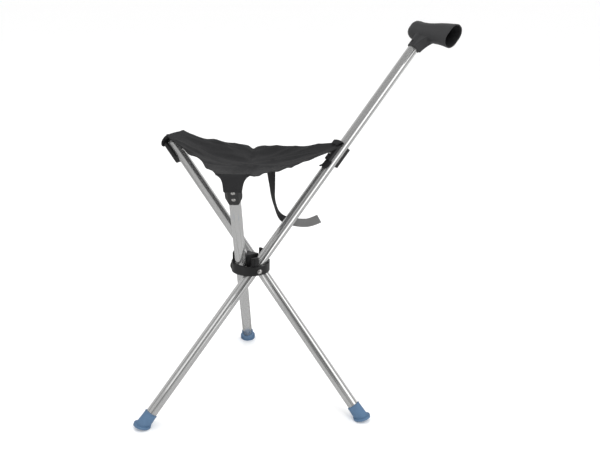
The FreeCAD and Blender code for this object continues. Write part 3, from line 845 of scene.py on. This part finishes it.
def woven_cloth(name, dark, pale, threads, with_hem):
    paint, shader = new_material(name, dark, 0.78)
    flat = paint.node_tree.nodes.new("ShaderNodeUVMap")
    flat.uv_map = "cloth"
    parts = paint.node_tree.nodes.new("ShaderNodeSeparateXYZ")
    link(paint, flat.outputs["UV"], parts.inputs[0])
    warp = thread_waves(paint, parts.outputs["X"], threads)
    weft = thread_waves(paint, parts.outputs["Y"], threads)
    weave = add_math(paint, "MULTIPLY", warp, weft)
    height = spread_from(paint, weave, -1, 1)
    cloudy = add_noise(paint, 48, 4)
    tone = add_math(paint, "ADD", add_math(paint, "MULTIPLY", height, 0.45),
                    add_math(paint, "MULTIPLY", cloudy, 0.55))
    vary_color(paint, shader, tone, dark, pale)
    if with_hem:
        edge = paint.node_tree.nodes.new("ShaderNodeAttribute")
        edge.attribute_name = "hem"
        past = add_math(paint, "SUBTRACT", edge.outputs["Fac"], STITCH_FROM_EDGE)
        sewn = add_math(paint, "LESS_THAN", add_math(paint, "ABSOLUTE", past), STITCH_HALF)
        height = add_math(paint, "ADD", height, add_math(paint, "MULTIPLY", sewn, 1.5))
    add_bump(paint, shader, height, 0.00012, 0.55)
    shader.inputs["Sheen Weight"].default_value = 0.03
    shader.inputs["Sheen Roughness"].default_value = 0.45
    return paint


sling_paint = woven_cloth("sling_nylon", DARK_NYLON, PALE_NYLON, THREAD_SCALE, True)

# %% [markdown]
# Each third of the sling belongs to the leg that carries its corner, and hangs on that
# leg's panel. The real cloth crumples between the tubes when the cane is folded.

select_only(sling)
smooth = sling.modifiers.new("smooth", "SUBSURF")
smooth.levels = smooth.render_levels = 1
bpy.ops.object.modifier_apply(modifier="smooth")
wrinkle(sling)
crease(sling)
sling.data.update()
for leg in LEGS:
    third = part_sling(sling, leg)
    finish_piece(third, "sling_" + leg, sling_paint, leg + "_panel", "sling_fabric",
                 "seat_panel_" + leg)
    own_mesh(third)
    print(third.name, "cut area", round(cut_area[leg], 4), "square metres")
bpy.data.objects.remove(sling)

# %% [markdown]
# ## The sling's corners
# At a short leg the cloth goes over the tube's end and a little way down its bracket. It
# is one strip that follows a bent path in the leg's frame, narrower at its free end.
# Solidify gives it thickness, and a subdivision rounds it. At the cane the cloth turns
# over the bracket, and a flap of it comes out below and lies round the tube.

# %% Corner strips
STRIP_COLUMNS = 12
STRIP_CLOTH = 1.5 * MM


def cloth_strip(name, path, widths, droop, matrix, wrap=0.0):
    """A strip that follows (x, z) points in a leg's upright frame, with a width at each.

    Droop lowers its two edges, and wrap bends them back round the tube.
    """
    points, faces, hem, flat = [], [], [], []
    along, area = 0.0, 0.0
    for row, ((x, z), width) in enumerate(zip(path, widths)):
        if row:
            step = math.dist(path[row], path[row - 1])
            along += step
            area += step * (width + widths[row - 1]) / 2
        for column in range(STRIP_COLUMNS + 1):
            across = column / STRIP_COLUMNS * 2 - 1
            points.append((x + wrap * across ** 2, tube_side + across * width / 2,
                           z - droop * across ** 2))
            hem.append(max(0.0, (1 - abs(across)) * width / 2))
            flat.append((across * width / 2, along))
    for row in range(len(path) - 1):
        for column in range(STRIP_COLUMNS):
            a = row * (STRIP_COLUMNS + 1) + column
            faces.append((a, a + 1, a + STRIP_COLUMNS + 2, a + STRIP_COLUMNS + 1))
    mesh = bpy.data.meshes.new(name)
    mesh.from_pydata(points, [], faces)
    mesh.attributes.new("hem", "FLOAT", "POINT").data.foreach_set("value", hem)
    layer = mesh.uv_layers.new(name="cloth")
    for loop in mesh.loops:
        layer.data[loop.index].uv = flat[loop.vertex_index]
    strip = bpy.data.objects.new(name, mesh)
    bpy.context.scene.collection.objects.link(strip)
    thick = strip.modifiers.new("thick", "SOLIDIFY")
    thick.thickness = STRIP_CLOTH
    thick.offset = 0
    round_it = strip.modifiers.new("round", "SUBSURF")
    round_it.levels = round_it.render_levels = 2
    apply_modifiers(strip)
    stand_in(strip, matrix)
    strip.data.shade_smooth()
    return strip, along, area


CORNER_WIDTHS = {"left": (50, 50, 50, 48, 43, 34, 24, 16),
                 "front": (54, 46, 39, 34, 31, 29, 28, 23)}
CORNER_LOFT = {"left": 5 * MM, "front": 2.5 * MM}
SHORT_CORNER_DROOP = 1.8 * MM
CANE_CORNER_WIDTHS = (30, 29, 26, 22, 20, 17)
CANE_CORNER_DROOP = 2 * MM
# Millimetres away from the tube's upper side and down from the bracket's foot.
FLAP_PATH = [(1.2, -3), (1.4, 4), (1.8, 9), (3.5, 13), (7, 16)]
FLAP_WIDTHS = (18, 19, 19, 18, 15)
FLAP_DROOP = 1 * MM
FLAP_WRAP = 6 * MM


def wrap_short_corner(leg):
    """The cloth stands a little off the tube's end before it bends down to the bracket."""
    top = span("top_plug_" + leg, leg, 2)[1] + STRIP_CLOTH
    face = span(leg + "_plate", leg, 0)[1] + STRIP_CLOTH
    start = leg_matrix(leg).inverted() @ corner_place[leg]
    loft = CORNER_LOFT[leg]
    path = [(start.x, start.z),
            (start.x * 0.75, start.z + loft * 0.4),
            (start.x * 0.4, top + loft),
            (0, top + loft * 0.95),
            (face * 0.35, top + loft * 0.75),
            (face * 0.8, top + loft * 0.35),
            (face + 0.6 * MM, top),
            (face + 0.5 * MM, top - 2 * MM)]
    widths = [width * MM for width in CORNER_WIDTHS[leg]]
    strip, length, area = cloth_strip("sling_corner_" + leg, path, widths, SHORT_CORNER_DROOP,
                                      leg_matrix(leg))
    finish_piece(strip, strip.name, sling_paint, leg + "_leg", "sling_fabric", "seat_corner_" + leg)


def wrap_cane_corner():
    face = span("cane_plate_inner", "cane", 0)[0] - 2.4 * MM
    top = span("cane_plate_inner", "cane", 2)[1]
    start = -tube_radius - 0.4 * MM
    path = [(start, top - 1 * MM),
            (start - 1.5 * MM, top + 1.6 * MM),
            (face * 0.9, top + 1.2 * MM),
            (face, top - 2 * MM),
            (face - 0.4 * MM, top - 6 * MM),
            (face - 1.2 * MM, top - 10 * MM)]
    strip, length, area = cloth_strip("sling_corner_cane", path,
                                      [width * MM for width in CANE_CORNER_WIDTHS],
                                      CANE_CORNER_DROOP, leg_matrix("cane"))
    finish_piece(strip, strip.name, sling_paint, "cane_leg", "sling_fabric", "seat_corner_cane")


def hang_cane_flap():
    foot = span("cane_plate_inner", "cane", 2)[0]
    start = -tube_radius - 0.4 * MM
    path = [(start - away * MM, foot - down * MM) for away, down in FLAP_PATH]
    flap, length, area = cloth_strip("sling_tail_cane", path, [width * MM for width in FLAP_WIDTHS],
                                     FLAP_DROOP, leg_matrix("cane"), FLAP_WRAP)
    finish_piece(flap, flap.name, sling_paint, "cane_leg", "sling_fabric")


for leg in SHORT_LEGS:
    wrap_short_corner(leg)
wrap_cane_corner()
hang_cane_flap()

# %% [markdown]
# ## The wrap strap
# A strap hangs from the sling, with grey hook tape on its free end, and ties the closed
# cane together. It is a ribbon along a curve: each station gives a place, measured from
# the hub, and the way that the ribbon's width lies there, so it twists as it falls.

# %% Strap
STRAP_STATIONS = [
    ((35, 35, 186), (0.9, -0.4, 0)),
    ((35, 35, 165), (0.85, -0.5, 0)),
    ((37, 35, 138), (0.6, -0.8, 0)),
    ((39, 35, 115), (0.35, -0.9, 0.2)),
    ((46, 36, 92), (0.1, -0.8, 0.6)),
    ((57, 40, 76), (0, -0.5, 0.85)),
    ((70, 44, 70), (0, -0.25, 0.95)),
    ((84, 46, 66), (0.1, -0.2, 0.97)),
    ((100, 47, 65.5), (0, -0.15, 0.98)),
    ((112, 47, 69), (-0.1, -0.1, 0.98)),
    ((122, 46, 74), (-0.2, -0.1, 0.97)),
]
HOOK_START = 6
STRAP_WIDTH = 17 * MM
STRAP_CLOTH = 1.3 * MM
STRAP_STEPS = 6
STRAP_COLUMNS = 6


def smooth_between(values, index, share):
    """A smooth curve through listed vectors, at a share of the way from one to the next."""
    a, b, c, d = (values[max(0, min(len(values) - 1, index + k))] for k in (-1, 0, 1, 2))
    bend = (2 * a - 5 * b + 4 * c - d) * share ** 2 + (3 * b - a - 3 * c + d) * share ** 3
    return b + (c - a) * (share / 2) + bend / 2


def ribbon(name, first, last):
    places = [hub + Vector(place) * MM for place, way in STRAP_STATIONS]
    ways = [Vector(way).normalized() for place, way in STRAP_STATIONS]
    middles, sides = [], []
    for index in range(first, last):
        for step in range(STRAP_STEPS + (index == last - 1)):
            middles.append(smooth_between(places, index, step / STRAP_STEPS))
            sides.append(smooth_between(ways, index, step / STRAP_STEPS))
    points, faces, flat, along = [], [], [], 0.0
    for row, (middle, side) in enumerate(zip(middles, sides)):
        ahead = middles[min(row + 1, len(middles) - 1)] - middles[max(row - 1, 0)]
        across = (side - ahead * (side.dot(ahead) / ahead.length_squared)).normalized()
        if row:
            along += (middle - middles[row - 1]).length
        for column in range(STRAP_COLUMNS + 1):
            aside = (column / STRAP_COLUMNS - 0.5) * STRAP_WIDTH
            points.append(middle + across * aside)
            flat.append((aside, along))
    for row in range(len(middles) - 1):
        for column in range(STRAP_COLUMNS):
            a = row * (STRAP_COLUMNS + 1) + column
            faces.append((a, a + 1, a + STRAP_COLUMNS + 2, a + STRAP_COLUMNS + 1))
    mesh = bpy.data.meshes.new(name)
    mesh.from_pydata(points, [], faces)
    layer = mesh.uv_layers.new(name="cloth")
    for loop in mesh.loops:
        layer.data[loop.index].uv = flat[loop.vertex_index]
    strip = bpy.data.objects.new(name, mesh)
    bpy.context.scene.collection.objects.link(strip)
    thick = strip.modifiers.new("thick", "SOLIDIFY")
    thick.thickness = STRAP_CLOTH
    thick.offset = 0
    edge = strip.modifiers.new("edge", "BEVEL")
    edge.width = 0.3 * MM
    edge.segments = 2
    apply_modifiers(strip)
    strip.data.shade_smooth()
    return strip, along


webbing_paint = woven_cloth("strap_webbing", (0.008, 0.008, 0.009), (0.024, 0.024, 0.026), 620,
                            False)
hook_paint = woven_cloth("hook_tape", (0.1, 0.1, 0.1), (0.2, 0.2, 0.198), 520, False)

webbing, length = ribbon("strap_webbing", 0, HOOK_START)
finish_piece(webbing, "strap_webbing", webbing_paint, "strap", "webbing", "wrap_strap")
hooks, length = ribbon("strap_hooks", HOOK_START, len(STRAP_STATIONS) - 1)
finish_piece(hooks, "strap_hooks", hook_paint, "strap", "hook_tape", "hook_tab")

# %% [markdown]
# ## The grip
# The grip is moulded in one piece, so its bar, neck and web run into each other. The bar
# starts as a small oblong plate at the closed end. It is extruded and scaled from station
# to station, and the open end is inset and pushed back in to make it hollow. A Remesh
# modifier then melts the neck and the web into it, and Smooth rounds the joins.

# %% Grip bar
GRIP_STATIONS = [
    (-39, 16, 13, 1.2),
    (-37.5, 23, 18.5, 1.5),
    (-34, 31, 24, 1.5),
    (-29, 36, 27.5, 1.2),
    (-20, 36, 28.5, 0.6),
    (-8, 34, 28.5, -0.3),
    (8, 34, 29, -0.8),
    (22, 36, 29, -0.6),
    (38, 39, 29, 0.2),
    (52, 41, 29, 0.3),
    (66, 43.5, 28.5, -0.4),
    (78, 46.5, 28, -1.3),
]
CAVE_STATIONS = 5
GRIP_CENTRE = 528 * MM
GRIP_WALL = 2.3 * MM
GRIP_VOXEL = 0.85 * MM
GRIP_ROUNDS = 6


def set_ring(before, after, wall_before, wall_after):
    """Extrudes the selected ring from one station to the next and scales it to its size there."""
    (t0, h0, w0, m0), (t1, h1, w1, m1) = before, after
    bpy.ops.mesh.extrude_region_move(
        TRANSFORM_OT_translate={"value": (0, (t0 - t1) * MM, (m1 - m0) * MM)})
    size = ((w1 * MM - 2 * wall_after) / (w0 * MM - 2 * wall_before), 1,
            (h1 * MM - 2 * wall_after) / (h0 * MM - 2 * wall_before))
    bpy.ops.transform.resize(value=size,
                             center_override=(0, tube_side - t1 * MM, GRIP_CENTRE + m1 * MM))


def make_bar():
    t, height, width, middle = GRIP_STATIONS[0]
    bpy.ops.mesh.primitive_plane_add(
        size=1, location=(0, tube_side - t * MM, GRIP_CENTRE + middle * MM),
        rotation=(math.pi / 2, 0, 0))
    bar = bpy.context.object
    bar.scale = (width * MM, height * MM, 1)
    bpy.ops.object.transform_apply(location=True, rotation=True, scale=True)
    bpy.ops.object.mode_set(mode="EDIT")
    bpy.ops.mesh.select_all(action="SELECT")
    bpy.ops.mesh.bevel(offset=width * MM * 0.48, segments=12, affect="VERTICES")
    bpy.ops.mesh.select_all(action="SELECT")
    for before, after in zip(GRIP_STATIONS, GRIP_STATIONS[1:]):
        set_ring(before, after, 0, 0)
    bpy.ops.mesh.inset(thickness=GRIP_WALL)
    inward = GRIP_STATIONS[::-1][:CAVE_STATIONS]
    for before, after in zip(inward, inward[1:]):
        set_ring(before, after, GRIP_WALL, GRIP_WALL)
    bpy.ops.mesh.select_all(action="SELECT")
    bpy.ops.mesh.normals_make_consistent(inside=False)
    bpy.ops.object.mode_set(mode="OBJECT")
    return bar


# %% Grip neck and web
NECK_BASE = 489 * MM
NECK_RADIUS = 12 * MM
WEB_WIDTH = 19 * MM
WEB_REACH = 31 * MM
WEB_TOP = 514 * MM
WEB_HOLLOW = 40 * MM
WEB_SINK = 6 * MM  # how far the web reaches up into the bar
TUBE_FIT = 0.15 * MM
CUT_EXTRA = 10 * MM


def make_neck():
    bpy.ops.mesh.primitive_cylinder_add(
        vertices=64, radius=NECK_RADIUS, depth=GRIP_CENTRE - NECK_BASE,
        location=(0, tube_side, (NECK_BASE + GRIP_CENTRE) / 2))
    return bpy.context.object


def cut_from(obj, tool):
    carve = obj.modifiers.new("carve", "BOOLEAN")
    carve.operation = "DIFFERENCE"
    carve.object = tool
    apply_modifiers(obj)
    bpy.data.objects.remove(tool)


def make_web():
    bpy.ops.mesh.primitive_cube_add(
        size=1, location=(0, tube_side - WEB_REACH / 2, (NECK_BASE + WEB_TOP + WEB_SINK) / 2))
    web = bpy.context.object
    web.scale = (WEB_WIDTH, WEB_REACH, WEB_TOP + WEB_SINK - NECK_BASE)
    bpy.ops.object.transform_apply(location=True, rotation=False, scale=True)
    foot = Vector((0, tube_side - NECK_RADIUS, NECK_BASE))
    tip = Vector((0, tube_side - WEB_REACH, WEB_TOP))
    chord = tip - foot
    away = Vector((0, -chord.z, chord.y)).normalized()
    centre = (foot + tip) / 2 + away * math.sqrt(WEB_HOLLOW ** 2 - (chord.length / 2) ** 2)
    bpy.ops.mesh.primitive_cylinder_add(vertices=128, radius=WEB_HOLLOW, depth=2 * WEB_WIDTH,
                                        location=centre, rotation=(0, math.pi / 2, 0))
    cut_from(web, bpy.context.object)
    return web


def make_grip():
    bar, neck, web = make_bar(), make_neck(), make_web()
    select_only(bar)
    neck.select_set(True)
    web.select_set(True)
    bpy.ops.object.join()
    melt = bar.modifiers.new("melt", "REMESH")
    melt.mode = "VOXEL"
    melt.voxel_size = GRIP_VOXEL
    round_off = bar.modifiers.new("round_off", "SMOOTH")
    round_off.factor = 0.5
    round_off.iterations = GRIP_ROUNDS
    apply_modifiers(bar)
    tube_top = span("cane_tube", "cane", 2)[1]
    bpy.ops.mesh.primitive_cylinder_add(
        vertices=TUBE_SIDES, radius=tube_radius + TUBE_FIT, depth=tube_top - NECK_BASE + CUT_EXTRA,
        location=(0, tube_side, (tube_top + TUBE_FIT + NECK_BASE - CUT_EXTRA) / 2))
    cut_from(bar, bpy.context.object)
    stand_in(bar, leg_matrix("cane"))
    select_only(bar)
    bpy.ops.object.shade_smooth_by_angle(angle=math.radians(40))
    finish_piece(bar, "moulded_grip", grip_paint, "cane_leg", "grip_plastic", "handle_grip")
    print(bar.name, len(bar.data.polygons), "faces")


make_grip()
